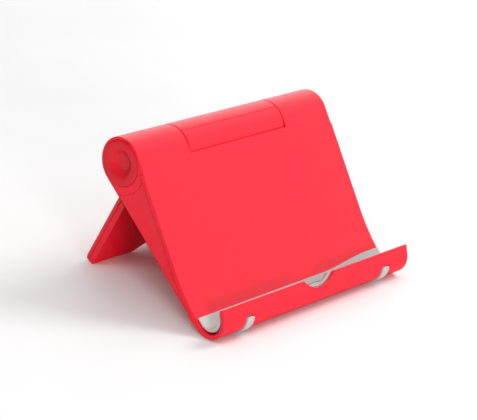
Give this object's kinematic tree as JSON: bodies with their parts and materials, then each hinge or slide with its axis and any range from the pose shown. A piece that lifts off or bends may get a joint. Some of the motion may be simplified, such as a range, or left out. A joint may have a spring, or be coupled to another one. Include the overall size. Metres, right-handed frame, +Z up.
{
  "type": "tablet stand",
  "caption": "Folding stand for a tablet or phone: a tapered front panel with a soft-lined trough along its foot, and a rear leg on a friction hinge inside the head barrel.",
  "frame": {"origin": "on the table, in the middle of the stand's footprint", "axes": "+X to the right of someone who faces the stand, along the hinge; +Y to the back, where the leg is; +Z up"},
  "size_m": [0.1042, 0.0828, 0.0597],
  "materials": {
    "red_shell": "moulded red ABS, satin",
    "grey_silicone": "matt light grey silicone",
    "zinc_steel": "zinc-plated steel",
    "natural_nylon": "natural nylon"
  },
  "bodies": {
    "panel": {"front_shell": "red_shell", "rear_cover": "red_shell", "cradle_liner": "grey_silicone", "left_end_cap": "red_shell", "right_end_cap": "red_shell", "cover_screw_1": "zinc_steel", "cover_screw_2": "zinc_steel", "cover_screw_3": "zinc_steel", "cover_screw_4": "zinc_steel", "hinge_bolt": "zinc_steel", "lock_nut": "zinc_steel", "head_washer": "zinc_steel", "inner_washer": "zinc_steel", "outer_washer": "zinc_steel", "inner_disc_spring": "zinc_steel", "outer_disc_spring": "zinc_steel", "left_friction_disc": "natural_nylon", "right_friction_disc": "natural_nylon"},
    "leg": {"leg_rear_shell": "red_shell", "leg_front_cover": "red_shell", "leg_screw_1": "zinc_steel", "leg_screw_2": "zinc_steel", "leg_screw_3": "zinc_steel", "leg_screw_4": "zinc_steel", "pivot_sleeve": "natural_nylon"}
  },
  "joints": [
    {"name": "leg_fold", "type": "hinge", "parent": "panel", "child": "leg", "pos_m": [0, 0.01508, 0.05016], "axis": [1, 0, 0], "range_deg": [-63, 40.5]}
  ]
}
